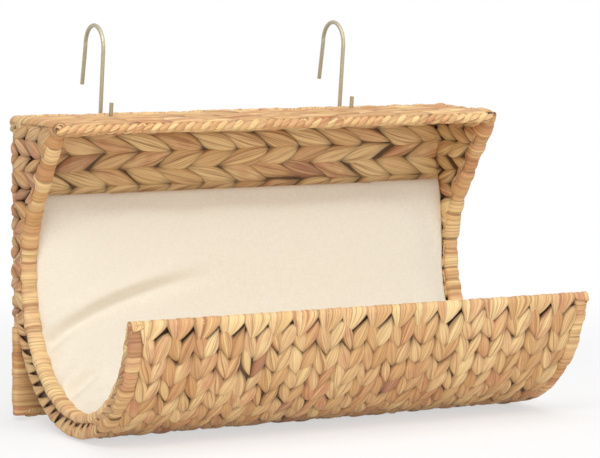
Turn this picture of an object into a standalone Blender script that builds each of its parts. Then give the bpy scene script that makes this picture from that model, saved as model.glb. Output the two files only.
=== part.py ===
"""Woven cat bed that hangs by two wire hooks: the construction, piece by piece.

Metres, +Z up, the back face on the plane y = 0, the front towards -Y and the lowest point at z = 0.
"""
import math

import bmesh
import bpy
from mathutils import Matrix, Vector

# Overall size
WIDTH = 0.460
DEPTH = 0.258
HEIGHT = 0.277
FRONT_HEIGHT = 0.116

# Clearances
GAP = 0.0003
BORE_CLEARANCE = 0.0005
ENTRY_CLEARANCE = 0.0003
ENTRY_REACH = 0.0007
OVERRUN = 0.004
MERGE_LIMIT = 0.00001

# Steel wires
FRAME_WIRE_D = 0.004
STAY_WIRE_D = 0.003
WIRE_END_INSET = 0.003
STAY_ANGLES = (-35, -62, -90, -118, -145)

# Wrapped leaf bindings round the wires
ROLL_D = 0.013
POST_D = 0.011
EDGE_D = 0.012
RIM_D = 0.011
FRONT_RIM_D = 0.011
ROPE_D = 0.008
ROPE_DROP = 0.003
END_BAND = 0.012

# Woven sheets
BACK_T = 0.009
SHELF_T = 0.008
SIDE_T = 0.011
TROUGH_T = 0.008
NECK_WIDTH = 0.0022
LIP_DEPTH = 0.008
LIP_TIP = 0.0015
BACK_SETBACK = 0.004
TROUGH_TOP_ANGLE = -6
RIM_TOP_SETBACK = 0.011
RIM_LEAN = 35.4

# Hooks
HOOK_WIRE_D = 0.004
HOOK_SPACING = 0.254
HOOK_SHIFT = -0.011
HOOK_SMALL_R = 0.0115
HOOK_LARGE_R = 0.020
HOOK_STUB = 0.0155
HOOK_RISE = 0.061
HOOK_SHORT_LEG = 0.037
HOOK_SPLAY = 6
HOOK_LEAN = 7
NOTCH_SIDE_CLEARANCE = 0.0012
NOTCH_REACH = 0.0013

# Cushion
CUSHION_T = 0.024
CUSHION_TOP = 0.203
CUSHION_FRONT_DROP = 0.028
CUSHION_SIDE_GAP = 0.0015
CUSHION_DRAW_IN = 0.005
CUSHION_EDGE_SHARE = 0.22
CUSHION_GRID = (22, 24)

# Facets
ARC_STEP = 6
SLEEVE_STEPS = 20
SWEEP_RESOLUTION = 2
BINDING_RESOLUTION = 4

# Places worked out from the sizes above
HALF_WIDTH = WIDTH / 2
END_X = HALF_WIDTH - END_BAND / 2
INNER_X = HALF_WIDTH - END_BAND - GAP
FRAME_BORE_D = FRAME_WIRE_D + 2 * BORE_CLEARANCE
STAY_BORE_D = STAY_WIRE_D + 2 * BORE_CLEARANCE
ENTRY_D = FRAME_WIRE_D + 2 * ENTRY_CLEARANCE
WELD_GAP = FRAME_WIRE_D / 2 + GAP

POST_Y = -POST_D / 2
ROLL_Y = -ROLL_D / 2
ROLL_Z = HEIGHT - ROLL_D / 2
EDGE_Z = HEIGHT - EDGE_D / 2
ROPE_Z = EDGE_Z - ROPE_DROP
BACK_FRONT_Y = -BACK_T - GAP
POST_FRONT_Y = -POST_D - GAP
EDGE_UNDER_Z = HEIGHT - EDGE_D - GAP

FRONT_RIM_Y = -DEPTH + FRONT_RIM_D / 2
FRONT_RIM_Z = FRONT_HEIGHT - FRONT_RIM_D / 2
RIM_BACK_Y = -POST_D - NECK_WIDTH - RIM_D / 2
RIM_BOTTOM_Z = LIP_DEPTH + RIM_D / 2
RIM_SPAN = RIM_BACK_Y - FRONT_RIM_Y
RIM_RISE = FRONT_RIM_Z - RIM_BOTTOM_Z
RIM_R = RIM_SPAN + RIM_RISE - math.sqrt(2 * RIM_SPAN * RIM_RISE)
RIM_CENTRE_Y = RIM_BACK_Y - RIM_R
RIM_CENTRE_Z = RIM_BOTTOM_Z + RIM_R
RIM_SIN = math.sin(math.radians(RIM_LEAN))
RIM_COS = math.cos(math.radians(RIM_LEAN))
RIM_TOP_Y = RIM_CENTRE_Y + (RIM_R - (EDGE_Z - RIM_CENTRE_Z) * RIM_SIN) / RIM_COS
SHELF_DEPTH = RIM_TOP_SETBACK - RIM_TOP_Y
ROPE_Y = -SHELF_DEPTH + ROPE_D / 2

TROUGH_R = (DEPTH - BACK_SETBACK) / 2
TROUGH_CENTRE_Y = -(DEPTH - TROUGH_R)
TROUGH_CENTRE_Z = TROUGH_R

FRONT_RIM_ANGLE = -180 - math.degrees(math.asin((FRONT_RIM_Z - RIM_CENTRE_Z) / RIM_R))

HOOK_PLACES = {
    "hook_left": HOOK_SHIFT - HOOK_SPACING / 2,
    "hook_right": HOOK_SHIFT + HOOK_SPACING / 2,
}


def clear_scene():
    """Empty the file that the script runs in."""
    for obj in list(bpy.data.objects):
        bpy.data.objects.remove(obj, do_unlink=True)


def make_collection(name, hidden=False):
    """Add a collection to the scene."""
    collection = bpy.data.collections.new(name)
    bpy.context.scene.collection.children.link(collection)
    collection.hide_render = hidden
    return collection


def make_material(name, color, roughness, metallic=0.0):
    """Add a Principled material of one plain colour."""
    material = bpy.data.materials.new(name)
    material.use_nodes = True
    shader = material.node_tree.nodes["Principled BSDF"]
    shader.inputs["Base Color"].default_value = (*color, 1.0)
    shader.inputs["Roughness"].default_value = roughness
    shader.inputs["Metallic"].default_value = metallic
    material.diffuse_color = (*color, 1.0)
    return material


LEAF_COLOR = (0.60, 0.38, 0.19)
BINDING_COLOR = (0.66, 0.44, 0.23)
CLOTH_COLOR = (0.83, 0.78, 0.68)
STEEL_COLOR = (0.20, 0.19, 0.18)
HOOK_COLOR = (0.60, 0.51, 0.37)


def dress(obj, kind):
    """Give a piece its own material, of one of the five kinds."""
    color, roughness, metallic = {
        "leaf": (LEAF_COLOR, 0.65, 0.0),
        "binding": (BINDING_COLOR, 0.6, 0.0),
        "cloth": (CLOTH_COLOR, 0.9, 0.0),
        "steel": (STEEL_COLOR, 0.5, 0.8),
        "hook": (HOOK_COLOR, 0.35, 0.5),
    }[kind]
    obj.data.materials.clear()
    obj.data.materials.append(make_material(obj.name + "_finish", color, roughness, metallic))


def link(name, data, collection):
    """Make an object in a collection."""
    obj = bpy.data.objects.new(name, data)
    collection.objects.link(obj)
    return obj


def aim_between(obj, start, end):
    """Place an object at the middle of a line, with its local Z along that line."""
    start, end = Vector(start), Vector(end)
    obj.location = (start + end) / 2
    obj.rotation_mode = "QUATERNION"
    obj.rotation_quaternion = (end - start).to_track_quat("Z", "Y")
    return (end - start).length


def make_rod(name, start, end, diameter, collection, segments=12):
    """A solid round bar from start to end."""
    mesh = bpy.data.meshes.new(name)
    rod = link(name, mesh, collection)
    length = aim_between(rod, start, end)
    solid = bmesh.new()
    bmesh.ops.create_cone(
        solid, cap_ends=True, segments=segments,
        radius1=diameter / 2, radius2=diameter / 2, depth=length)
    solid.to_mesh(mesh)
    solid.free()
    return rod


def make_sleeve(name, start, end, outer_d, bore_d, collection):
    """A straight hollow tube from start to end, turned from its wall's section."""
    mesh = bpy.data.meshes.new(name)
    sleeve = link(name, mesh, collection)
    length = aim_between(sleeve, start, end)
    outer, inner, top = outer_d / 2, bore_d / 2, length / 2
    section = bmesh.new()
    corners = [section.verts.new(p) for p in (
        (outer, 0, top), (outer, 0, -top), (inner, 0, -top), (inner, 0, top))]
    for first, second in zip(corners, corners[1:] + corners[:1]):
        section.edges.new((first, second))
    section.to_mesh(mesh)
    section.free()
    turn = sleeve.modifiers.new("Turned wall", "SCREW")
    turn.steps = turn.render_steps = SLEEVE_STEPS
    turn.use_normal_calculate = True
    turn.use_normal_flip = True
    turn.use_merge_vertices = True
    turn.merge_threshold = MERGE_LIMIT
    return sleeve


def make_box(name, low, high, collection):
    """A box between two corners."""
    mesh = bpy.data.meshes.new(name)
    box = link(name, mesh, collection)
    low, high = Vector(low), Vector(high)
    solid = bmesh.new()
    bmesh.ops.create_cube(solid, size=1.0)
    bmesh.ops.scale(solid, vec=high - low, verts=solid.verts)
    solid.to_mesh(mesh)
    solid.free()
    box.location = (low + high) / 2
    return box


def mesh_from(obj, collection):
    """Swap a curve object, or one with modifiers, for its evaluated and welded mesh."""
    name = obj.name
    depsgraph = bpy.context.evaluated_depsgraph_get()
    mesh = bpy.data.meshes.new_from_object(obj.evaluated_get(depsgraph))
    matrix = obj.matrix_world.copy()
    bpy.data.objects.remove(obj, do_unlink=True)
    solid = bmesh.new()
    solid.from_mesh(mesh)
    bmesh.ops.remove_doubles(solid, verts=solid.verts, dist=MERGE_LIMIT)
    bmesh.ops.recalc_face_normals(solid, faces=solid.faces)
    solid.to_mesh(mesh)
    solid.free()
    result = link(name, mesh, collection)
    result.name = name
    result.matrix_world = matrix
    return result


def make_sweep(name, points, diameter, resolution, collection):
    """A round tube along a chain of points, with closed ends."""
    curve = bpy.data.curves.new(name, "CURVE")
    curve.dimensions = "3D"
    curve.bevel_depth = diameter / 2
    curve.bevel_resolution = resolution
    curve.use_fill_caps = True
    spline = curve.splines.new("POLY")
    spline.points.add(len(points) - 1)
    for point, place in zip(spline.points, points):
        point.co = (*place, 1.0)
    return link(name, curve, collection)


def make_plate(name, outline, x_centre, thickness, collection):
    """A flat sheet: an outline in the YZ plane, extruded along X."""
    curve = bpy.data.curves.new(name, "CURVE")
    curve.dimensions = "2D"
    curve.fill_mode = "BOTH"
    curve.extrude = thickness / 2
    spline = curve.splines.new("POLY")
    spline.points.add(len(outline) - 1)
    for point, (y, z) in zip(spline.points, outline):
        point.co = (y, z, 0, 1.0)
    spline.use_cyclic_u = True
    plate = link(name, curve, collection)
    plate.rotation_euler = (math.pi / 2, 0, math.pi / 2)
    plate.location = (x_centre, 0, 0)
    bpy.context.view_layer.update()
    return plate


def cut(target, cutters):
    """Take each cutter away from a mesh piece."""
    for cutter in cutters:
        cutter.display_type = "WIRE"
        cutter.hide_render = True
        modifier = target.modifiers.new("Cut by " + cutter.name, "BOOLEAN")
        modifier.operation = "DIFFERENCE"
        modifier.solver = "EXACT"
        modifier.object = cutter


def arc(centre_y, centre_z, radius, start, end, step=ARC_STEP):
    """Points (y, z) along an arc, angles in degrees from the +Y direction, end points included."""
    count = max(2, math.ceil(abs(end - start) / step)) + 1
    points = []
    for index in range(count):
        angle = math.radians(start + (end - start) * index / (count - 1))
        points.append((centre_y + radius * math.cos(angle), centre_z + radius * math.sin(angle)))
    return points


def lean_line(offset, height):
    """Y of the rim's straight upper stretch at a height, shifted back square to it by offset."""
    return RIM_CENTRE_Y + (RIM_R + offset - (height - RIM_CENTRE_Z) * RIM_SIN) / RIM_COS


def rim_path(side, top_z, end_clearance):
    """The rim's centre line: down the straight stretch, then round to just before the front rim."""
    end_angle = FRONT_RIM_ANGLE + math.degrees(math.asin(end_clearance / RIM_R))
    points = [(lean_line(0, top_z), top_z)]
    points += arc(RIM_CENTRE_Y, RIM_CENTRE_Z, RIM_R, RIM_LEAN, end_angle)
    return [(side * END_X, y, z) for y, z in points]


def build_frame_wires(parts):
    """The straight wires of the frame, welded end to side where they meet."""
    reach = END_X - WELD_GAP
    wires = {
        "bottom_back_wire": ((-reach, POST_Y, POST_D / 2), (reach, POST_Y, POST_D / 2)),
        "top_back_wire": ((-reach, ROLL_Y, ROLL_Z), (reach, ROLL_Y, ROLL_Z)),
        "shelf_front_wire": ((-reach, ROPE_Y, ROPE_Z), (reach, ROPE_Y, ROPE_Z)),
        "front_rim_wire": (
            (-HALF_WIDTH + WIRE_END_INSET, FRONT_RIM_Y, FRONT_RIM_Z),
            (HALF_WIDTH - WIRE_END_INSET, FRONT_RIM_Y, FRONT_RIM_Z)),
    }
    for side, word in ((-1, "left"), (1, "right")):
        x = side * END_X
        wires[word + "_post_wire"] = ((x, POST_Y, WIRE_END_INSET), (x, POST_Y, HEIGHT - WIRE_END_INSET))
        wires["shelf_" + word + "_wire"] = (
            (x, POST_Y - WELD_GAP, EDGE_Z), (x, -SHELF_DEPTH + WIRE_END_INSET, EDGE_Z))
    for name, (start, end) in wires.items():
        dress(make_rod(name, start, end, FRAME_WIRE_D, parts), "steel")


def build_rim_wires(parts):
    """The two bent wires that carry the trough's ends."""
    top_z = EDGE_Z - WELD_GAP - FRAME_WIRE_D / 2 * RIM_SIN
    for side, word in ((-1, "left"), (1, "right")):
        path = rim_path(side, top_z, WELD_GAP)
        wire = make_sweep(word + "_rim_wire", path, FRAME_WIRE_D, SWEEP_RESOLUTION, parts)
        dress(mesh_from(wire, parts), "steel")


def stay_place(angle):
    """Centre (y, z) of a cross wire in the trough's sheet."""
    radius = TROUGH_R - TROUGH_T / 2
    return arc(TROUGH_CENTRE_Y, TROUGH_CENTRE_Z, radius, angle, angle)[0]


def build_stay_wires(parts):
    """The thin wires that run the length of the trough inside its weave."""
    for number, angle in enumerate(STAY_ANGLES, 1):
        y, z = stay_place(angle)
        name = "trough_stay_wire_%d" % number
        dress(make_rod(name, (-INNER_X, y, z), (INNER_X, y, z), STAY_WIRE_D, parts), "steel")


def build_back_bindings(parts, cutters):
    """The wrapped tubes round the four sides of the back."""
    span = INNER_X
    roll = make_sleeve(
        "top_back_roll", (-span, ROLL_Y, ROLL_Z), (span, ROLL_Y, ROLL_Z), ROLL_D, FRAME_BORE_D, parts)
    dress(roll, "binding")
    bottom_z = POST_D / 2
    bottom = make_sleeve(
        "bottom_back_binding", (-span, POST_Y, bottom_z), (span, POST_Y, bottom_z),
        POST_D, FRAME_BORE_D, parts)
    dress(bottom, "binding")
    for side, word in ((-1, "left"), (1, "right")):
        x = side * END_X
        inside = side * (END_X - POST_D)
        past = side * (END_X + ENTRY_REACH)
        post = make_sleeve(
            word + "_post_binding", (x, POST_Y, 0), (x, POST_Y, HEIGHT), POST_D, FRAME_BORE_D, parts)
        post = mesh_from(post, parts)
        cut(post, [
            make_rod(word + "_roll_wire_hole", (inside, ROLL_Y, ROLL_Z), (past, ROLL_Y, ROLL_Z),
                     ENTRY_D, cutters),
            make_rod(word + "_bottom_wire_hole", (inside, POST_Y, bottom_z), (past, POST_Y, bottom_z),
                     ENTRY_D, cutters),
            make_rod(word + "_edge_wire_hole", (x, POST_Y + ENTRY_REACH, EDGE_Z),
                     (x, -POST_D - OVERRUN, EDGE_Z),
                     ENTRY_D, cutters),
        ])
        dress(post, "binding")


def build_shelf_bindings(parts, cutters):
    """The wrapped edges of the top shelf and the twisted rope along its front."""
    rope = make_sleeve(
        "shelf_front_rope", (-INNER_X, ROPE_Y, ROPE_Z), (INNER_X, ROPE_Y, ROPE_Z),
        ROPE_D, FRAME_BORE_D, parts)
    dress(rope, "binding")
    below = EDGE_Z - EDGE_D
    for side, word in ((-1, "left"), (1, "right")):
        x = side * END_X
        edge = make_sleeve(
            "shelf_%s_edge" % word, (x, POST_FRONT_Y, EDGE_Z), (x, -SHELF_DEPTH, EDGE_Z),
            EDGE_D, FRAME_BORE_D, parts)
        edge = mesh_from(edge, parts)
        inside = side * (END_X - EDGE_D)
        past = side * (END_X + ENTRY_REACH)
        cut(edge, [
            make_rod(word + "_rope_wire_hole", (inside, ROPE_Y, ROPE_Z), (past, ROPE_Y, ROPE_Z),
                     ENTRY_D, cutters),
            make_rod(word + "_rim_wire_hole", (x, lean_line(0, below), below),
                     (x, lean_line(0, EDGE_Z + ENTRY_REACH), EDGE_Z + ENTRY_REACH), ENTRY_D, cutters),
        ])
        dress(edge, "binding")


def build_rim_bindings(parts, cutters):
    """The wrapped tubes along the curved edges of both ends, and the one along the front rim."""
    end_clearance = FRONT_RIM_D / 2 + GAP
    front = make_sleeve(
        "front_rim_binding", (-HALF_WIDTH, FRONT_RIM_Y, FRONT_RIM_Z),
        (HALF_WIDTH, FRONT_RIM_Y, FRONT_RIM_Z), FRONT_RIM_D, FRAME_BORE_D, parts)
    front = mesh_from(front, parts)
    entries = []
    for side, word in ((-1, "left"), (1, "right")):
        over = EDGE_UNDER_Z + RIM_D
        outer = make_sweep(
            word + "_rim_binding", rim_path(side, over, end_clearance), RIM_D, BINDING_RESOLUTION, parts)
        rim = mesh_from(outer, parts)
        bore = make_sweep(
            word + "_rim_bore", rim_path(side, over + OVERRUN, GAP), FRAME_BORE_D,
            SWEEP_RESOLUTION, cutters)
        trim = make_box(
            word + "_rim_top_trim", (side * END_X - RIM_D, -DEPTH, EDGE_UNDER_Z),
            (side * END_X + RIM_D, 0, HEIGHT + 2 * RIM_D), cutters)
        cut(rim, [mesh_from(bore, cutters), trim])
        dress(rim, "binding")
        below = rim_path(side, over, FRONT_RIM_D)[-1]
        entries.append(make_rod(
            word + "_front_rim_entry", below, (side * END_X, FRONT_RIM_Y, FRONT_RIM_Z),
            ENTRY_D, cutters))
    cut(front, entries)
    dress(front, "binding")


def hook_notches(sheet, cutters):
    """Cutters where the hooks pass round the top roll."""
    lift = HOOK_SMALL_R - HOOK_WIRE_D / 2 - ROLL_D / 2 - GAP
    radius = HOOK_SMALL_R + HOOK_WIRE_D / 2 + lift + NOTCH_REACH
    half = HOOK_WIRE_D / 2 + NOTCH_SIDE_CLEARANCE
    return [
        make_rod("%s_%s_notch" % (sheet, name), (x - half, ROLL_Y, ROLL_Z),
                 (x + half, ROLL_Y, ROLL_Z), 2 * radius, cutters, segments=48)
        for name, x in HOOK_PLACES.items()
    ]


def build_flat_weaves(parts, cutters):
    """The woven back and the woven top shelf, notched for the hooks."""
    half = END_X - POST_D / 2 - GAP
    back = make_box(
        "back_weave", (-half, -BACK_T, POST_D + GAP), (half, 0, HEIGHT - ROLL_D - GAP), parts)
    cut(back, hook_notches("back", cutters))
    dress(back, "leaf")
    low = (EDGE_Z + ROPE_Z) / 2 - SHELF_T / 2
    shelf = make_box(
        "shelf_weave", (-INNER_X, ROPE_Y + ROPE_D / 2 + GAP, low),
        (INNER_X, -ROLL_D - GAP, low + SHELF_T), parts)
    cut(shelf, hook_notches("shelf", cutters))
    dress(shelf, "leaf")


def lip_end(clear):
    """Angles about the trough's and the rim's centres where the lip has thinned to its tip."""
    across, up = TROUGH_CENTRE_Y - RIM_CENTRE_Y, TROUGH_CENTRE_Z - RIM_CENTRE_Z
    apart = math.hypot(across, up)
    inner, outer = RIM_R + clear, TROUGH_R - LIP_TIP
    inner_cos = (inner ** 2 - outer ** 2 + apart ** 2) / (2 * apart * inner)
    outer_cos = (inner ** 2 - outer ** 2 - apart ** 2) / (2 * apart * outer)
    towards = math.degrees(math.atan2(up, across))
    return towards - math.degrees(math.acos(outer_cos)), towards - math.degrees(math.acos(inner_cos))


def build_side_weaves(parts):
    """The woven side panels, each with the lip that runs on round the trough's end."""
    clear = RIM_D / 2 + GAP
    outer_end, inner_end = lip_end(clear)
    start = -math.degrees(math.acos((POST_FRONT_Y - TROUGH_CENTRE_Y) / TROUGH_R))
    outline = [(POST_FRONT_Y, EDGE_UNDER_Z)]
    outline += arc(TROUGH_CENTRE_Y, TROUGH_CENTRE_Z, TROUGH_R, start, outer_end)
    outline += arc(RIM_CENTRE_Y, RIM_CENTRE_Z, RIM_R + clear, inner_end, RIM_LEAN)
    outline.append((lean_line(clear, EDGE_UNDER_Z), EDGE_UNDER_Z))
    for side, word in ((-1, "left"), (1, "right")):
        plate = make_plate(word + "_side_weave", outline, side * END_X, SIDE_T, parts)
        dress(mesh_from(plate, parts), "leaf")


def build_trough_weave(parts, cutters):
    """The woven sheet from the back round under the cushion to the front rim."""
    front_clearance = FRONT_RIM_D / 2 + GAP
    front_angle = FRONT_RIM_ANGLE + math.degrees(math.asin(front_clearance / RIM_R))
    end_y, end_z = arc(RIM_CENTRE_Y, RIM_CENTRE_Z, RIM_R, front_angle, front_angle)[0]
    end = math.degrees(math.atan2(end_z - TROUGH_CENTRE_Z, end_y - TROUGH_CENTRE_Y)) % -360
    start = -math.degrees(math.acos((BACK_FRONT_Y - TROUGH_CENTRE_Y) / TROUGH_R))
    inner = TROUGH_R - TROUGH_T
    outline = arc(TROUGH_CENTRE_Y, TROUGH_CENTRE_Z, TROUGH_R, start, end)
    outline += arc(TROUGH_CENTRE_Y, TROUGH_CENTRE_Z, inner, end, TROUGH_TOP_ANGLE)
    outline.append((BACK_FRONT_Y, outline[-1][1]))
    sheet = mesh_from(make_plate("trough_weave", outline, 0, 2 * INNER_X, parts), parts)
    bores = []
    for number, angle in enumerate(STAY_ANGLES, 1):
        y, z = stay_place(angle)
        bores.append(make_rod(
            "stay_bore_%d" % number, (-INNER_X - OVERRUN, y, z), (INNER_X + OVERRUN, y, z),
            STAY_BORE_D, cutters))
    cut(sheet, bores)
    dress(sheet, "leaf")


def cushion_place(distance):
    """Point (y, z) on the cushion's outer face, a distance along it from its top edge."""
    radius = TROUGH_R - TROUGH_T - GAP
    back_y = TROUGH_CENTRE_Y + radius
    straight = CUSHION_TOP - TROUGH_CENTRE_Z
    if distance < straight:
        return back_y, CUSHION_TOP - distance
    angle = (distance - straight) / radius
    return TROUGH_CENTRE_Y + radius * math.cos(angle), TROUGH_CENTRE_Z - radius * math.sin(angle)


def build_cushion(parts):
    """The loose cushion: a bent sheet, thickened to a crown, with its sides drawn in."""
    radius = TROUGH_R - TROUGH_T - GAP
    front_z = FRONT_HEIGHT - CUSHION_FRONT_DROP
    turn = math.pi + math.asin((front_z - TROUGH_CENTRE_Z) / radius)
    length = CUSHION_TOP - TROUGH_CENTRE_Z + radius * turn
    half_width = INNER_X - CUSHION_SIDE_GAP
    mesh = bpy.data.meshes.new("cushion")
    cushion = link("cushion", mesh, parts)
    sheet = bmesh.new()
    bmesh.ops.create_grid(sheet, x_segments=CUSHION_GRID[0], y_segments=CUSHION_GRID[1], size=1.0)
    crowns = []
    for vert in sheet.verts:
        across, along = -vert.co.x, vert.co.y
        side_crown = math.sqrt(max(0.0, 1 - across ** 4))
        end_crown = math.sqrt(max(0.0, 1 - along ** 6))
        crowns.append(side_crown * end_crown)
        side_draw = CUSHION_DRAW_IN * (1 - along ** 2)
        end_draw = CUSHION_DRAW_IN * (1 - across ** 2) * along
        distance = length * (along + 1) / 2 - end_draw
        y, z = cushion_place(distance)
        vert.co = (across * (half_width - side_draw), y, z)
    sheet.to_mesh(mesh)
    sheet.free()
    group = cushion.vertex_groups.new(name="crown")
    for index, crown in enumerate(crowns):
        group.add([index], crown, "REPLACE")
    pad = cushion.modifiers.new("Filling", "SOLIDIFY")
    pad.thickness = CUSHION_T
    pad.offset = 1.0
    pad.vertex_group = "crown"
    pad.thickness_vertex_group = CUSHION_EDGE_SHARE
    dress(cushion, "cloth")


def hook_path():
    """The hook's centre line (y, z) from the top wire's axis: stub, small bend, long leg, large bend."""
    lift = HOOK_SMALL_R - HOOK_WIRE_D / 2 - ROLL_D / 2 - GAP
    splay = math.radians(HOOK_SPLAY)
    top = lift + HOOK_RISE
    path = [(-HOOK_SMALL_R, lift + HOOK_STUB)]
    path += arc(0, lift, HOOK_SMALL_R, -180, 0, step=15)
    path += arc(HOOK_SMALL_R + HOOK_LARGE_R, top, HOOK_LARGE_R, 180, -HOOK_SPLAY, step=12)
    end_y, end_z = path[-1]
    path.append((end_y + HOOK_SHORT_LEG * math.sin(splay), end_z - HOOK_SHORT_LEG * math.cos(splay)))
    return path


def build_hooks(parts):
    """The two bent wire hooks, each with its origin on the top wire that it swings on."""
    for name, x in HOOK_PLACES.items():
        path = [(0, y, z) for y, z in hook_path()]
        hook = mesh_from(make_sweep(name, path, HOOK_WIRE_D, SWEEP_RESOLUTION, parts), parts)
        hook.matrix_world = Matrix.Translation((x, ROLL_Y, ROLL_Z)) @ Matrix.Rotation(
            math.radians(HOOK_LEAN), 4, "X")
        dress(hook, "hook")


def main():
    """Build the whole bed."""
    clear_scene()
    parts = make_collection("woven_cat_bed")
    cutters = make_collection("cutters", hidden=True)
    build_frame_wires(parts)
    build_rim_wires(parts)
    build_stay_wires(parts)
    build_back_bindings(parts, cutters)
    build_shelf_bindings(parts, cutters)
    build_rim_bindings(parts, cutters)
    build_flat_weaves(parts, cutters)
    build_side_weaves(parts)
    build_trough_weave(parts, cutters)
    build_cushion(parts)
    build_hooks(parts)


main()
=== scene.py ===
"""Woven cat bed: the looks of every piece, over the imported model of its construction."""
import math

import bpy
import numpy as np
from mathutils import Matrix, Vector


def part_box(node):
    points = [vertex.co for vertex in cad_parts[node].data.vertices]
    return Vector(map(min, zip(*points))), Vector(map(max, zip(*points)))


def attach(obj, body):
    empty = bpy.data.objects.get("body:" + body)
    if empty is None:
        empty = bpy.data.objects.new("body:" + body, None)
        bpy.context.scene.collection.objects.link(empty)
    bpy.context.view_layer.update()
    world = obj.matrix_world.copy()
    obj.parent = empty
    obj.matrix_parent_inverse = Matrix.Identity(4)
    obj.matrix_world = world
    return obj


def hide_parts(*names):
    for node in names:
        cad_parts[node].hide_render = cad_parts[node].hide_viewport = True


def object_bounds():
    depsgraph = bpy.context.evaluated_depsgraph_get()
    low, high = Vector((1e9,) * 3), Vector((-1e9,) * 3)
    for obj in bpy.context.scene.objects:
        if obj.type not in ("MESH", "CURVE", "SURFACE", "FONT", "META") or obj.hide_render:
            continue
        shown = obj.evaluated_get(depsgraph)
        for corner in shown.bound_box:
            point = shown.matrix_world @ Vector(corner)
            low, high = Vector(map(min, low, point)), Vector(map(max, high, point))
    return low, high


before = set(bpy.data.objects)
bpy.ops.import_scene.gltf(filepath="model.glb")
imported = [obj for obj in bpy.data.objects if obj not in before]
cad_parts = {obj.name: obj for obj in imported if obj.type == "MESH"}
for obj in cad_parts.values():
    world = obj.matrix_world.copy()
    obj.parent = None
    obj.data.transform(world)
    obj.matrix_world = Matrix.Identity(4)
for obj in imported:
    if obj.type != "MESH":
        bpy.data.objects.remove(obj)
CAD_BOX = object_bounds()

bl_info = {
    "name": "Woven cat bed",
    "version": (1, 0, 0),
    "blender": (4, 5, 0),
    "location": "3D View > Sidebar > Cat bed",
    "description": "Weaves, winds and sews the pieces of a hanging woven cat bed",
    "category": "Object",
}

MM = 0.001


def middle(node):
    """The middle of a piece of the construction, to a tenth of a millimetre."""
    return [round((low + high) / 2, 4) for low, high in zip(*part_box(node))]


# Places of the construction that the leaf follows
HALF_WIDTH = round(CAD_BOX[1][0], 4)
FRONT_Y = round(CAD_BOX[0][1], 4)
INNER_X = round(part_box("trough_weave")[1][0], 4)
TROUGH_R = 127 * MM
TROUGH_INNER_R = 119 * MM
TROUGH_Y = FRONT_Y + TROUGH_R
TROUGH_Z = TROUGH_R
FRONT_ANGLE = math.radians(188)
BACK_ANGLE = math.radians(345)
BACK_T = 9 * MM
END_X, POST_Y, _ = middle("right_post_binding")
EDGE_Z = middle("shelf_left_edge")[2]
_, ROPE_Y, ROPE_Z = middle("shelf_front_rope")
_, FRONT_RIM_Y, FRONT_RIM_Z = middle("front_rim_binding")
SHELF_FRONT_Y = -102 * MM
SHELF_REAR_Y = -8 * MM
SHELF_TOP_Z, SHELF_TOP_FALL = 274 * MM, 3 * MM
SHELF_UNDER_Z, SHELF_UNDER_FALL = 267.5 * MM, 2 * MM
PANEL_OUTER_X, PANEL_INNER_X = 222.9 * MM, 220.1 * MM
PANEL_BEND_Y, PANEL_BEND_R = -6 * MM, 6.2 * MM
PANEL_PAST_RIM = 4 * MM

# The curved rim: a round stretch that touches the back and the trough's floor, then a straight one
RIM_BACK_Y = -18.7 * MM
RIM_BOTTOM_Z = 13.5 * MM
RIM_SPAN = RIM_BACK_Y - FRONT_RIM_Y
RIM_RISE = FRONT_RIM_Z - RIM_BOTTOM_Z
RIM_R = round(RIM_SPAN + RIM_RISE - math.sqrt(2 * RIM_SPAN * RIM_RISE), 5)
RIM_Y = RIM_BACK_Y - RIM_R
RIM_Z = RIM_BOTTOM_Z + RIM_R
RIM_LEAN = math.radians(35.4)

# One leaf: how deep its rim dives, its narrow ends, its sway, and the folds along it
LEAF_SINK = 1.4 * MM
LEAF_END_SHARE = 0.04
LEAF_SWAY = 0.6 * MM
LEAF_FOLDS = ((0.22 * MM, 4.5), (0.16 * MM, 8))
LEAF_TILT = 0.5 * MM

# A plait: how unevenly its pairs lie along it and at their two ends, and how its leaves bend
STEP_PLAY = 1.6 * MM
NEAR_PLAY = 0.8 * MM
FAR_PLAY = 1.4 * MM
BOW = 0.4 * MM
BOW_PLAY = 0.9 * MM
SHINGLE = 0.55 * MM
SLIM_SHARE = 0.28

# How deep the leaf lies in the faces of the construction's smooth sheets
OUTER_BED = 2.2 * MM
FACE_BED = 1.8 * MM

# A winding: the share of a turn that its neighbours cover, and the fine folds round it
TURN_LAP_SHARE = 0.2
TURN_FOLD = 0.18 * MM
TURN_FOLD_PITCH = 2.3 * MM


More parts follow.
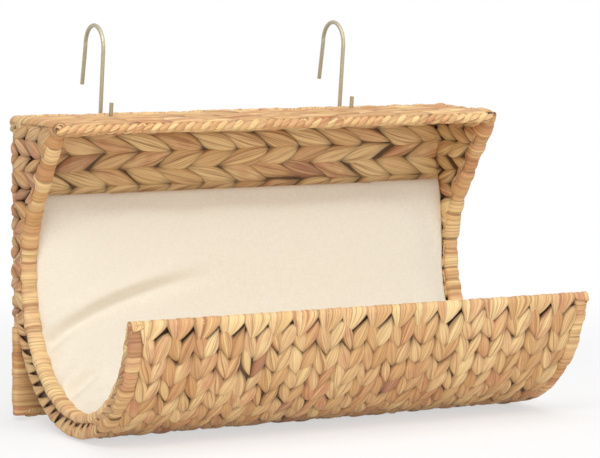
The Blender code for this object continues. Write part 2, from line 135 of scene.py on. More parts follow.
class Patchwork:
    """Collects grids of points and makes them one mesh, with fibre coordinates, and a tint which also carries
    painted shade.
    """

    def __init__(self, seed):
        self.random = np.random.RandomState(seed)
        self.points, self.fibres, self.tints, self.faces = [], [], [], []
        self.count = 0

    def grid(self, points, along, across, tint, shade, flip=False):
        """Add a grid of points of rows by columns. along and across are the fibre coordinates, and shade is
        painted shade.
        """
        rows, columns = points.shape[:2]
        fibre = np.empty((rows, columns, 3))
        fibre[..., 0] = along
        fibre[..., 1] = across
        fibre[..., 2] = self.random.rand()
        color = np.ones((rows, columns, 4))
        color[..., :2] = tint
        # The third channel is painted shade, which the leaf material turns into darkening
        color[..., 2] = shade
        index = np.arange(rows * columns).reshape(rows, columns) + self.count
        a, b = index[:-1, :-1], index[1:, :-1]
        c, d = index[1:, 1:], index[:-1, 1:]
        order = (a, d, c, b) if flip else (a, b, c, d)
        self.faces.append(np.stack([part.ravel() for part in order], axis=1))
        self.points.append(points.reshape(-1, 3))
        self.fibres.append(fibre.reshape(-1, 3))
        self.tints.append(color.reshape(-1, 4))
        self.count += rows * columns

    def painted_shade_sheet(self, points, tone=0.9, flip=False):
        """Add a sheet of painted shade under the leaf, dark as the deep colour, so that the holes between the
        leaves look shaded.
        """
        self.grid(points, 0.0, 0.0, (tone, 0.3), 0.0, flip)

    def make(self, name, material):
        """Turn what was collected into an object."""
        mesh = bpy.data.meshes.new(name)
        mesh.from_pydata(np.concatenate(self.points).tolist(), [], np.concatenate(self.faces).tolist())
        for label, kind, field, values in (
                ("fibre", "FLOAT_VECTOR", "vector", self.fibres), ("tint", "FLOAT_COLOR", "color", self.tints)):
            layer = mesh.attributes.new(label, kind, "POINT")
            layer.data.foreach_set(field, np.concatenate(values).astype(np.float32).ravel())
        mesh.shade_smooth()
        mesh.materials.append(material)
        piece = bpy.data.objects.new(name, mesh)
        bpy.context.scene.collection.objects.link(piece)
        return piece

    def pick_tint(self, tone=0.5, spread=0.45):
        """A tone and a warmth for one leaf."""
        value = tone + spread * (self.random.rand() * 2 - 1)
        return float(np.clip(value, 0, 1)), float(self.random.rand() ** 1.6)

    def jitter(self, size):
        """A small random offset, up to size each way."""
        return size * (self.random.rand() * 2 - 1)


def lay_leaf(work, surface, start, end, width, lift, tint, bow, shingle, proud, grid, limits):
    """One bulged leaf on a surface, from start to end, which dives under it at its rim.

    proud lifts the leaf's start and its end over what lies there.
    """
    a = np.linspace(0, 1, grid[0])[:, None]
    b = np.linspace(-1, 1, grid[1])[None, :]
    length = math.dist(start, end)
    direction = [(last - first) / length for first, last in zip(start, end)]
    side = (-direction[1], direction[0])
    widest = 0.5 + work.jitter(0.12)
    belly = np.clip(np.sin(math.pi * a ** (math.log(0.5) / math.log(widest))), 0, 1)
    half = 0.5 * width * (LEAF_END_SHARE + (1 - LEAF_END_SHARE) * belly ** 0.95)
    drift = bow * np.sin(math.pi * a) + work.jitter(LEAF_SWAY) * np.sin(2 * math.pi * a)
    place = [
        np.clip(start[k] + direction[k] * length * a + side[k] * (b * half + drift), *limits[k])
        for k in (0, 1)]
    arch = belly ** 0.5
    folds = sum(deep * np.cos(b * count + work.jitter(3)) for deep, count in LEAF_FOLDS)
    folds = folds + work.jitter(LEAF_TILT) * b
    raised = proud[0] * (1 - a) ** 2.5 + proud[1] * a ** 2.5
    bulge = (lift + LEAF_SINK) * arch * (1 - np.abs(b) ** 3.6)
    height = -LEAF_SINK + bulge + (folds - shingle * b) * arch + raised
    # Painted shade: the leaf darkens towards its rim, where it dives under its neighbours
    shade = np.clip(0.15 + 1.05 * arch * (1 - np.abs(b) ** 5), 0, 1)
    work.grid(surface(*place, height), a * length, b * 0.5 * width, tint, shade)


def lay_plait(work, surface, centre, first, last, period, pitch, leaf, axis, limits, tone=0.5,
              keep=None, tip=0.02, spread=0.5, proud=(1.8 * MM, 0), proud_first=None, thin=0.12,
              grid=(11, 8), broad=0.0):
    """A braid of leaf pairs that meet in a point, along one axis of a surface's coordinates.

    centre is the braid's line across the axis, and each pair points towards first. leaf is a
    leaf's length, width and lift. tip and spread are shares of the period, from the braid's
    line to a leaf's two ends. proud_first replaces the first pair's lift at its start.
    """
    length, width, lift = leaf
    margin = 0.3 * length
    forward = 1 if last > first else -1
    for step in range(int(abs(last - first) / pitch) + 2):
        for side in (-1, 1):
            here = first + forward * (step - 0.5) * pitch + work.jitter(STEP_PLAY)
            near = centre + side * tip * period + work.jitter(NEAR_PLAY)
            far = centre + side * spread * period + work.jitter(FAR_PLAY)
            reach = here + forward * length * (1 + work.jitter(0.1))
            start, end = ((here, near), (reach, far)) if axis == 0 else ((near, here), (far, reach))
            middles = [(a + b) / 2 for a, b in zip(start, end)]
            if keep is not None and not keep(*middles):
                continue
            if not all(low - margin < value < high + margin
                       for (low, high), value in zip(limits, middles)):
                continue
            lean = side * forward * (1 if axis == 0 else -1)
            slim = 1 + side * broad + work.jitter(0.1)
            slim -= SLIM_SHARE if work.random.rand() < thin else 0
            begin = proud_first if step == 0 and proud_first else proud[0]
            lay_leaf(
                work, surface, start, end, width * slim, lift * (1 + side * broad + work.jitter(0.25)),
                work.pick_tint(tone), bow=-lean * (BOW + work.jitter(BOW_PLAY)),
                shingle=-lean * SHINGLE, proud=(begin, proud[1]), grid=grid, limits=limits)


def wind_tube(work, path, half_wide, half_deep, wide_axis, pitch, bulge, tone, seam=0, skew=0.0,
              segments=22, rows=8, rough=0.5, square=1.0, spread=0.45, widths=None, tone_end=None,
              ceiling=None):
    """Flat leaf wound round a path: one grid for each turn, a little proud of the one before.

    The section is an ellipse, half_wide along wide_axis and half_deep square to it, and squarer
    where square is under 1. seam is the angle of the hidden side, in degrees. widths lists pairs
    of a share of the path and the half depth there in millimetres, which grows away from the
    opening only. tone_end is the tone at the path's far end, and no point rises over ceiling.
    """
    path = np.asarray(path, float)
    ends = np.concatenate([[0], np.cumsum(np.linalg.norm(np.diff(path, axis=0), axis=1))])
    total = ends[-1]

    def on_path(place):
        place = np.clip(place, 0, total)
        return np.stack([np.interp(place, ends, path[:, k]) for k in range(3)], axis=-1)

    count = max(1, int(round(total / pitch)))
    pitch = total / count
    wide_axis = np.asarray(wide_axis, float)
    angles = np.radians(seam + np.linspace(0, 360, segments))[None, :]
    ring = [np.sign(wave) * np.abs(wave) ** square for wave in (np.cos(angles), np.sin(angles))]
    edges = np.linspace(0, total, count + 1)
    edges[1:-1] += (work.random.rand(count - 1) - 0.5) * pitch * rough
    share = np.linspace(0, 1, rows)[:, None]
    crown = np.clip(1 - np.abs(2 * share - 1) ** 2.6, 0, 1) ** 0.6
    # Painted shade: each turn darkens towards its edges, where it runs under its neighbours
    shade = np.clip(0.12 + crown ** 0.5, 0, 1)
    for index in range(count):
        own = edges[index + 1] - edges[index]
        low, high = edges[index] - own * TURN_LAP_SHARE, edges[index + 1] + own * TURN_LAP_SHARE
        sway = work.jitter(0.08) * own
        lean = skew * np.cos(angles) + sway * (np.sin(angles) - math.sin(math.radians(seam)))
        place = np.clip(low + (high - low) * share + lean, 0, total)
        centre = on_path(place)
        tangent = on_path(place + 0.5 * MM) - on_path(place - 0.5 * MM)
        tangent /= np.linalg.norm(tangent, axis=-1, keepdims=True)
        deep = np.cross(np.broadcast_to(wide_axis, tangent.shape), tangent)
        deep /= np.linalg.norm(deep, axis=-1, keepdims=True)
        own_deep = half_deep
        if widths is not None:
            own_deep = np.interp((low + high) / 2 / total, *zip(*widths)) * MM
            own_deep *= 1 + work.jitter(0.1)
            centre = centre + deep * (own_deep - half_deep)
        shingled = work.jitter(0.35) * (share - 0.5)
        grow = bulge * (crown - 0.6 + shingled + work.jitter(0.4))
        waves = max(2, round(own / TURN_FOLD_PITCH))
        grow = grow + TURN_FOLD * np.cos(share * 2 * math.pi * waves) * crown
        points = (centre + wide_axis * ((half_wide + grow) * ring[0])[..., None]
                  + deep * ((own_deep + grow) * ring[1])[..., None])
        if ceiling is not None:
            points[..., 2] = np.minimum(points[..., 2], ceiling)
        own_tone = tone if tone_end is None else tone + (tone_end - tone) * index / count
        work.grid(points, angles * (half_wide + half_deep) / 2, (high - low) * share,
                  work.pick_tint(own_tone, spread), shade)


def twist_rope(work, first, last, y, z, strand, offset, lay):
    """Two strands of leaf twisted round each other along the x axis, made in short lengths."""
    count = round((last - first) / (2.6 * lay))
    stretch = (last - first) / count
    lap = 1.5 * MM
    turns = np.radians(np.linspace(0, 360, 13))[None, :]
    for index in range(count):
        for phase in (0, math.pi):
            x = np.linspace(first + index * stretch - lap, first + (index + 1) * stretch + lap, 46)
            from_end = np.minimum(np.arange(46), np.arange(46)[::-1])
            thick = strand * (1 + work.jitter(0.08)) * np.clip(0.55 + from_end / 5, 0, 1)
            twist = -2 * math.pi * x / lay + phase
            centre = np.stack([x, y + offset * np.cos(twist), z + offset * np.sin(twist)], axis=-1)
            slope = -2 * math.pi * offset / lay
            tangent = np.stack([np.ones_like(x), -slope * np.sin(twist), slope * np.cos(twist)], axis=-1)
            tangent /= np.linalg.norm(tangent, axis=-1, keepdims=True)
            across = np.cross(tangent, np.array([0.0, 0.0, 1.0]))
            across /= np.linalg.norm(across, axis=-1, keepdims=True)
            over = np.cross(across, tangent)
            points = (centre[:, None] + thick[:, None, None] * (
                across[:, None] * np.cos(turns)[..., None] + over[:, None] * np.sin(turns)[..., None]))
            # Painted shade: each strand darkens on the side that faces the other strand
            outward = (points[..., 1] - y) * np.cos(twist)[:, None]
            outward = outward + (points[..., 2] - z) * np.sin(twist)[:, None]
            shade = np.clip(0.75 + outward / (2.2 * offset), 0.1, 1)
            work.grid(points, x[:, None], turns * strand, work.pick_tint(0.5, 0.3), shade, flip=True)


def close_end(work, centre, axis, wide_axis, half_wide, half_deep, tint, depth):
    """A curled leaf end: rings that run into a hollow, with painted shade and a painted shadow on one side of
    the hollow.
    """
    axis, wide_axis = np.asarray(axis, float), np.asarray(wide_axis, float)
    deep = np.cross(wide_axis, axis)
    angles = np.radians(np.linspace(0, 360, 21))[None, :]
    rings, inset, light, dark = np.array([
        (1.0, 0.0, 0.9, 0.0), (0.92, -0.15, 1.0, 0.6), (0.7, -0.05, 0.95, 1.2),
        (0.52, 0.15, 0.9, 0.7), (0.4, 0.5, 0.7, 0.2), (0.02, 0.55, 0.6, 0.0)]).T[..., None]
    points = (np.asarray(centre, float) - axis * (depth * inset + angles * 0)[..., None]
              + wide_axis * (half_wide * rings * np.cos(angles))[..., None]
              + deep * (half_deep * rings * np.sin(angles))[..., None])
    # Painted shade on the rings, and a painted shadow in the hollow on the side at 150 degrees
    shade = np.clip(light - dark * np.clip(np.cos(angles - math.radians(150)), 0, 1), 0, 1)
    work.grid(points, angles * half_wide, rings * half_wide, tint, shade)


def painted_shade_box(work, low, high):
    """A box of painted shade under the leaf."""
    corners = np.array([low, high])
    for axis in range(3):
        others = [k for k in range(3) if k != axis]
        for end in (0, 1):
            points = np.empty((2, 2, 3))
            points[..., axis] = corners[end, axis]
            points[..., others[0]] = corners[:, others[0], None]
            points[..., others[1]] = corners[:, others[1]]
            work.painted_shade_sheet(points, flip=(end == 0) != (axis == 1))


def circle(y, z, radius, angle):
    """Points (y, z) at a distance from a middle, one for each angle."""
    return np.stack([y + radius * np.cos(angle), z + radius * np.sin(angle)], axis=-1)


def round_trough(x, radius, angle):
    """Points at a distance and an angle from the trough's middle line."""
    x, radius, angle = np.broadcast_arrays(x, radius, angle)
    return np.concatenate([x[..., None], circle(TROUGH_Y, TROUGH_Z, radius, angle)], axis=-1)


def trough_outside(x, s, h):
    """A point on the trough's outer face: x along it, s round it from the front rim, h out of it."""
    return round_trough(x, TROUGH_R - OUTER_BED + h, FRONT_ANGLE + s / TROUGH_R)


def trough_inside(x, s, h):
    """The same on the trough's inner face, with h into the trough."""
    return round_trough(x, TROUGH_INNER_R + FACE_BED - h, FRONT_ANGLE + s / TROUGH_R)


def back_front(x, z, h):
    """The back's front face."""
    return np.stack([x, -BACK_T + FACE_BED - h, z], axis=-1)


def back_rear(x, z, h):
    """The back's rear face."""
    return np.stack([x, -FACE_BED + h, z], axis=-1)


def shelf_top(x, y, h):
    """The shelf's top face, which falls a little towards the front."""
    return np.stack([x, y, SHELF_TOP_Z - SHELF_TOP_FALL * (y / SHELF_FRONT_Y) + h], axis=-1)


def shelf_under(x, y, h):
    """The shelf's underside."""
    return np.stack([x, y, SHELF_UNDER_Z - SHELF_UNDER_FALL * (y / SHELF_FRONT_Y) - h], axis=-1)


def rim_edge(z):
    """The y of the opening's edge at a height: slanting at the top, round below."""
    top = RIM_Z + RIM_R * math.sin(RIM_LEAN)
    slanting = RIM_Y + RIM_R * math.cos(RIM_LEAN) - (z - top) * math.tan(RIM_LEAN)
    rounded = RIM_Y + np.sqrt(np.clip(RIM_R ** 2 - (z - RIM_Z) ** 2, 0, None))
    return np.where(z > top, slanting, rounded)


def side_face(side, outward):
    """A surface function for one face of a side panel, with coordinates y and z.

    Outside, what lies behind the panel's rear edge turns round the back post.
    """
    def outside(y, z, h):
        y = np.maximum(y, rim_edge(z) - PANEL_PAST_RIM)
        angle = np.clip((y - PANEL_BEND_Y) / PANEL_BEND_R, 0, math.pi)
        x = PANEL_OUTER_X + (PANEL_BEND_R + h) * np.cos(angle)
        bent = PANEL_BEND_Y + (PANEL_BEND_R + h) * np.sin(angle)
        return np.stack([side * x, np.where(y < PANEL_BEND_Y, y, bent), z], axis=-1)

    def inside(y, z, h):
        y = np.maximum(y, rim_edge(z) - PANEL_PAST_RIM)
        return np.stack([side * (PANEL_INNER_X - h), y, z], axis=-1)

    return outside if outward else inside


def rim_line(x, offset, top_z):
    """A path down the opening's edge: its straight stretch, then round, to the front rim."""
    radius = RIM_R + offset
    tangent = circle(RIM_Y, RIM_Z, radius, RIM_LEAN)
    top = np.array([tangent[0] - (top_z - tangent[1]) * math.tan(RIM_LEAN), top_z])
    straight = top + (tangent - top) * np.linspace(0, 1, 16)[:-1, None]
    curved = circle(RIM_Y, RIM_Z, radius, np.linspace(RIM_LEAN, math.radians(-170), 90))
    line = np.concatenate([straight, curved])
    return np.column_stack([np.full(len(line), x), line])


def operation(name, turned=False):
    """A method that adds a Math node for a socket and another value, or the other way round."""
    def method(self, other):
        pair = (other, self) if turned else (self, other)
        return self.nodes.add("ShaderNodeMath", {"operation": name}, dict(enumerate(pair)))
    return method


class Socket:
    """A shader socket with arithmetic, so that shader maths reads as an expression."""

    def __init__(self, nodes, socket):
        self.nodes = nodes
        self.socket = socket

    __add__, __radd__ = operation("ADD"), operation("ADD", turned=True)
    __sub__, __rsub__ = operation("SUBTRACT"), operation("SUBTRACT", turned=True)
    __mul__, __rmul__ = operation("MULTIPLY"), operation("MULTIPLY", turned=True)


class Shader:
    """The nodes of one material, or of another node tree."""

    def __init__(self, name="", tree=None):
        self.tree = tree
        if tree is None:
            self.material = bpy.data.materials.new(name)
            self.material.use_nodes = True
            self.tree = self.material.node_tree
            self.shader = self.tree.nodes["Principled BSDF"]

    def add(self, kind, settings, inputs, output=0):
        """Add a node: its type, its settings, and the values or links of its sockets."""
        node = self.tree.nodes.new(kind)
        for key, value in settings.items():
            setattr(node, key, value)
        for key, value in inputs.items():
            self.feed(node.inputs[key], value)
        return Socket(self, node.outputs[output])

    def feed(self, socket, value):
        """Link a socket, or set its value."""
        if isinstance(value, Socket):
            self.tree.links.new(value.socket, socket)
        else:
            socket.default_value = value

    def mix(self, share, first, second):
        """Mix two colours."""
        first, second = (c if isinstance(c, Socket) else (*c, 1) for c in (first, second))
        return self.add(
            "ShaderNodeMix", {"data_type": "RGBA", "blend_type": "MIX", "clamp_factor": True},
            {0: share, 6: first, 7: second}, output=2)

    def place(self):
        """The place on the object, before it moves."""
        return self.add("ShaderNodeTexCoord", {}, {}, output=3)

    def noise(self, vector, scale, detail):
        """Noise from 0 to 1, of one scale, or of a scale for each axis."""
        if isinstance(scale, tuple):
            vector = self.add("ShaderNodeVectorMath", {"operation": "MULTIPLY"}, {0: vector, 1: scale})
            scale = 1.0
        return self.add(
            "ShaderNodeTexNoise", {"noise_dimensions": "3D"},
            {"Vector": vector, "Scale": scale, "Detail": detail, "Roughness": 0.55})

    def steps(self, value, low, high):
        """A smooth 0 to 1 step between two values."""
        return self.add(
            "ShaderNodeMapRange", {"interpolation_type": "SMOOTHSTEP"},
            {"Value": value, "From Min": low, "From Max": high})

    def bump(self, height, strength, distance):
        """A bump that feeds the normal."""
        return self.add(
            "ShaderNodeBump", {}, {"Height": height, "Strength": strength, "Distance": distance})

    def seen(self):
        """1 for what the camera sees, straight or in gloss and glass, and 0 for lighting."""
        camera, glossy, through = (
            self.add("ShaderNodeLightPath", {}, {}, output=name)
            for name in ("Is Camera Ray", "Is Glossy Ray", "Is Transmission Ray"))
        either = self.add("ShaderNodeMath", {"operation": "MAXIMUM"}, {0: camera, 1: glossy})
        return self.add("ShaderNodeMath", {"operation": "MAXIMUM"}, {0: either, 1: through})

    def finish(self, **values):
        """Feed the shader's own sockets, by name with spaces as underscores."""
        for key, value in values.items():
            self.feed(self.shader.inputs[key.replace("_", " ")], value)
        return self.material


def leaf_material(name, look):
    """Dried leaf: a tint for each leaf, fibres along it, darker streaks, a satin surface, and painted shade
    towards the deep colour where the shade is low.
    """
    s = Shader(name)
    fibre = s.add("ShaderNodeAttribute", {"attribute_name": "fibre"}, {}, output=1)
    tint = s.add("ShaderNodeAttribute", {"attribute_name": "tint"}, {}, output=0)
    tone = s.add("ShaderNodeSeparateColor", {}, {0: tint})
    warmth, shade = (Socket(s, tone.socket.node.outputs[k]) for k in (1, 2))
    fine = s.noise(fibre, (16.0, 820.0, 91.0), 3.0)
    broad = s.noise(fibre, (9.0, 300.0, 57.0), 2.0)
    patch = s.noise(fibre, (45.0, 80.0, 33.0), 2.0)
    plain = s.mix(tone, look.pale, look.tan)
    plain = s.mix(warmth * 0.9 * s.steps(patch, 0.3, 0.65), plain, look.blush)
    plain = s.mix(s.steps(warmth, 0.93, 0.97) * 0.8, plain, look.dusk)
    streaked = s.mix(s.steps(broad, 0.52, 0.7) * 0.7, plain, look.brown)
    bright = s.mix((1 - s.steps(broad, 0.3, 0.46)) * 0.6, streaked, look.straw)
    lines = s.mix((1 - s.steps(fine, 0.36, 0.54)) * 0.45, bright, look.brown)
    return s.finish(
        # Painted shade: the colour darkens towards the deep colour where the mesh's shade is low
        Base_Color=s.mix((1 - shade) * 0.92, lines, look.deep),
        Roughness=0.48 + 0.22 * fine,
        Normal=s.bump(fine * 0.5 + broad * 1.0, 0.75, 0.9 * MM),
    )


def cloth_material(name):
    """Off-white plain woven cloth with a fine thread and slight slubs."""
    s = Shader(name)
    place = s.place()
    across = s.noise(place, (180.0, 60.0, 2600.0), 2.0)
    along = s.noise(place, (2600.0, 60.0, 180.0), 2.0)
    broad = s.noise(place, 9.0, 2.0)
    thread = across * 0.5 + along * 0.5
    color = s.mix(s.steps(thread, 0.35, 0.65), linear(233, 223, 204), linear(243, 236, 221))
    color = s.mix(s.steps(broad, 0.3, 0.7) * 0.3, color, linear(238, 229, 211))
    return s.finish(
        Base_Color=color, Roughness=0.9, Normal=s.bump(thread, 0.35, 0.4 * MM),
        Sheen_Weight=0.25, Specular_IOR_Level=0.25)


def linear(red, green, blue):
    """A linear colour from its display values, 0 to 255."""
    return tuple((v / 255 / 12.92) if v / 255 <= 0.04045 else ((v / 255 + 0.055) / 1.055) ** 2.4
                 for v in (red, green, blue))


class LeafLook(bpy.types.PropertyGroup):
    """Colours of the dried leaf."""

    pale: bpy.props.FloatVectorProperty(
        name="Pale leaf", description="Colour of the palest leaves", subtype="COLOR",
        default=linear(244, 212, 154))
    tan: bpy.props.FloatVectorProperty(
        name="Tan leaf", description="Colour of the darker leaves", subtype="COLOR",
        default=linear(204, 150, 92))
    blush: bpy.props.FloatVectorProperty(
        name="Blush", description="Pinkish tinge on some leaves", subtype="COLOR",
        default=linear(210, 142, 106))
    dusk: bpy.props.FloatVectorProperty(
        name="Dusk", description="Colour of the few dark leaves", subtype="COLOR",
        default=linear(170, 118, 90))
    straw: bpy.props.FloatVectorProperty(
        name="Straw", description="Yellow streaks", subtype="COLOR",
        default=linear(248, 218, 150))
    brown: bpy.props.FloatVectorProperty(
        name="Brown", description="Fine brown fibres and streaks", subtype="COLOR",
        default=linear(160, 106, 62))
    # Painted shade: the colour that the leaf darkens towards at its rims, in its creases and on the sheets
    # under the holes
    deep: bpy.props.FloatVectorProperty(
        name="Deep", description="Colour down between the leaves", subtype="COLOR",
        default=linear(74, 44, 22))


class WeaveSizes(bpy.types.PropertyGroup):
    """Sizes of the woven leaf."""

    trough_period: bpy.props.FloatProperty(
        name="Column width", description="Width of one column of leaf pairs on the trough",
        default=24.2 * MM, unit="LENGTH")
    trough_pitch: bpy.props.FloatProperty(
        name="Row pitch", description="Distance between rows of leaf pairs on the trough",
        default=21 * MM, unit="LENGTH")
    trough_leaf: bpy.props.FloatProperty(
        name="Leaf length", description="Length of a leaf on the trough",
        default=33 * MM, unit="LENGTH")
    plait_period: bpy.props.FloatProperty(
        name="Plait height", description="Height of one level plait on the back",
        default=31.5 * MM, unit="LENGTH")
    plait_pitch: bpy.props.FloatProperty(
        name="Plait pitch", description="Distance between leaf pairs on the back and the shelf",
        default=34 * MM, unit="LENGTH")
    turn_pitch: bpy.props.FloatProperty(
        name="Turn width", description="Width of one turn of leaf round the rims and the posts",
        default=12 * MM, unit="LENGTH")


class StageLook(bpy.types.PropertyGroup):
    """Lights, floor and camera."""

    floor: bpy.props.FloatVectorProperty(
        name="Floor", description="Colour of the floor", subtype="COLOR", default=(0.9, 0.9, 0.9))
    glow: bpy.props.FloatProperty(
        name="White floor", description="Share of plain white in the floor near the bed",
        default=0.6, subtype="FACTOR")
    key_power: bpy.props.FloatProperty(
        name="Key light", description="Power of the large lamp at the upper left front",
        default=32.0, unit="POWER")
    fill: bpy.props.FloatProperty(
        name="Fill", description="Strength of the even light from all round", default=0.4)


class BedSettings(bpy.types.PropertyGroup):
    """All settings of the bed."""

    leaf: bpy.props.PointerProperty(type=LeafLook, name="Leaf", description="Leaf colours")
    weave: bpy.props.PointerProperty(type=WeaveSizes, name="Weave", description="Weave sizes")
    stage: bpy.props.PointerProperty(type=StageLook, name="Stage", description="Stage settings")


def put(piece, body, slot, *nodes):
    """Fix a piece to its body, and hide the construction that it stands for. slot is not used."""
    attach(piece, body)
    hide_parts(*nodes)


def put_leaf(context, work, name, slot, node):
    """Make a leaf piece of the bed, with the leaf material, which is made once."""
    look = context.scene.bed.leaf
    leaf = bpy.data.materials.get("dried_leaf") or leaf_material("dried_leaf", look)
    put(work.make(name, leaf), "bed", slot, node)


def columns_of(sizes):
    """The number of leaf columns along the trough, and the width of one."""
    columns = round(2 * INNER_X / sizes.trough_period)
    return columns, 2 * INNER_X / columns


class BED_OT_weave_trough(bpy.types.Operator):
    """Weave the trough: columns of leaf pairs outside, and the same inside"""

    bl_idname = "bed.weave_trough"
    bl_label = "Weave the trough"

    # Each face's surface, the place of its first pair, and the grid of its leaves
    FACES = ((trough_outside, 13.5 * MM, (11, 8)), (trough_inside, 6 * MM, (7, 5)))
    END_MARGIN = 10 * MM
    # Depth and start of the sheets of painted shade under the trough's leaf
    SHADE_SHEET_DEPTH = 1 * MM
    SHADE_SHEET_START = -1 * MM

    def execute(self, context):
        sizes = context.scene.bed.weave
        work = Patchwork(seed=11)
        length = TROUGH_R * (BACK_ANGLE - FRONT_ANGLE)
        columns, period = columns_of(sizes)
        for surface, first, grid in self.FACES:
            for column in range(columns + 1):
                lay_plait(
                    work, surface, column * period - INNER_X, first, length - self.END_MARGIN, period,
                    sizes.trough_pitch, (sizes.trough_leaf, 0.7 * period, 2.8 * MM), axis=1, tone=0.45,
                    tip=0.06, spread=0.47, proud=(0.0, 1.6 * MM), proud_first=3.2 * MM, grid=grid,
                    broad=-0.1, keep=lambda x, s: abs(x) < INNER_X,
                    limits=((-INNER_X, INNER_X), (0, length)))
        # Sheets of painted shade under both faces, dark in the holes between the leaves
        x = np.linspace(-INNER_X, INNER_X, 2)[None, :]
        s = np.linspace(self.SHADE_SHEET_START, length, 40)[:, None]
        for surface, flip in ((trough_outside, False), (trough_inside, True)):
            work.painted_shade_sheet(surface(x, s, -self.SHADE_SHEET_DEPTH), tone=0.8, flip=flip)
        put_leaf(context, work, "woven_trough", "leaf_weave", "trough_weave")
        return {"FINISHED"}


class BED_OT_weave_back(bpy.types.Operator):
    """Weave the upright back and the shelf: level plaits of long leaves"""

    bl_idname = "bed.weave_back"
    bl_label = "Weave the back and the shelf"

    BOTTOM, TOP = 6 * MM, 266 * MM
    FIRST_PLAIT = 271.8 * MM
    SHELF_PLAITS = 4
    SHELF_PERIOD = 23 * MM
    SHELF_LEAF = (52 * MM, 14.5 * MM, 2.4 * MM)

    def execute(self, context):
        sizes = context.scene.bed.weave
        half = INNER_X + 1 * MM
        period, pitch = sizes.plait_period, sizes.plait_pitch
        work = Patchwork(seed=23)
        for surface in (back_front, back_rear):
            for row in range(int(self.TOP / period) + 1):
                lay_plait(
                    work, surface, self.FIRST_PLAIT - row * period, half, -half, period, pitch,
                    (1.58 * pitch, 0.66 * period, 2.6 * MM), axis=0, tone=0.05, thin=0.04,
                    limits=((-half, half), (7 * MM, 268 * MM)))
        # A box of painted shade inside the back, dark in the holes between the leaves
        painted_shade_box(work, (-half, -BACK_T + 3 * MM, self.BOTTOM), (half, -3 * MM, self.TOP))
        put_leaf(context, work, "woven_back", "leaf_weave", "back_weave")
        work = Patchwork(seed=29)
        for surface in (shelf_top, shelf_under):
            for row in range(self.SHELF_PLAITS):
                lay_plait(
                    work, surface, -20 * MM - row * self.SHELF_PERIOD, half, -half, self.SHELF_PERIOD,
                    pitch, self.SHELF_LEAF, axis=0, spread=0.48, proud=(1.6 * MM, 0),
                    limits=((-half, half), (ROPE_Y, SHELF_REAR_Y)))
        # A box of painted shade inside the shelf, dark in the holes between the leaves
        painted_shade_box(work, (-half, ROPE_Y, 268 * MM), (half, SHELF_REAR_Y, 271 * MM))
        put_leaf(context, work, "woven_shelf", "leaf_weave", "shelf_weave")
        return {"FINISHED"}


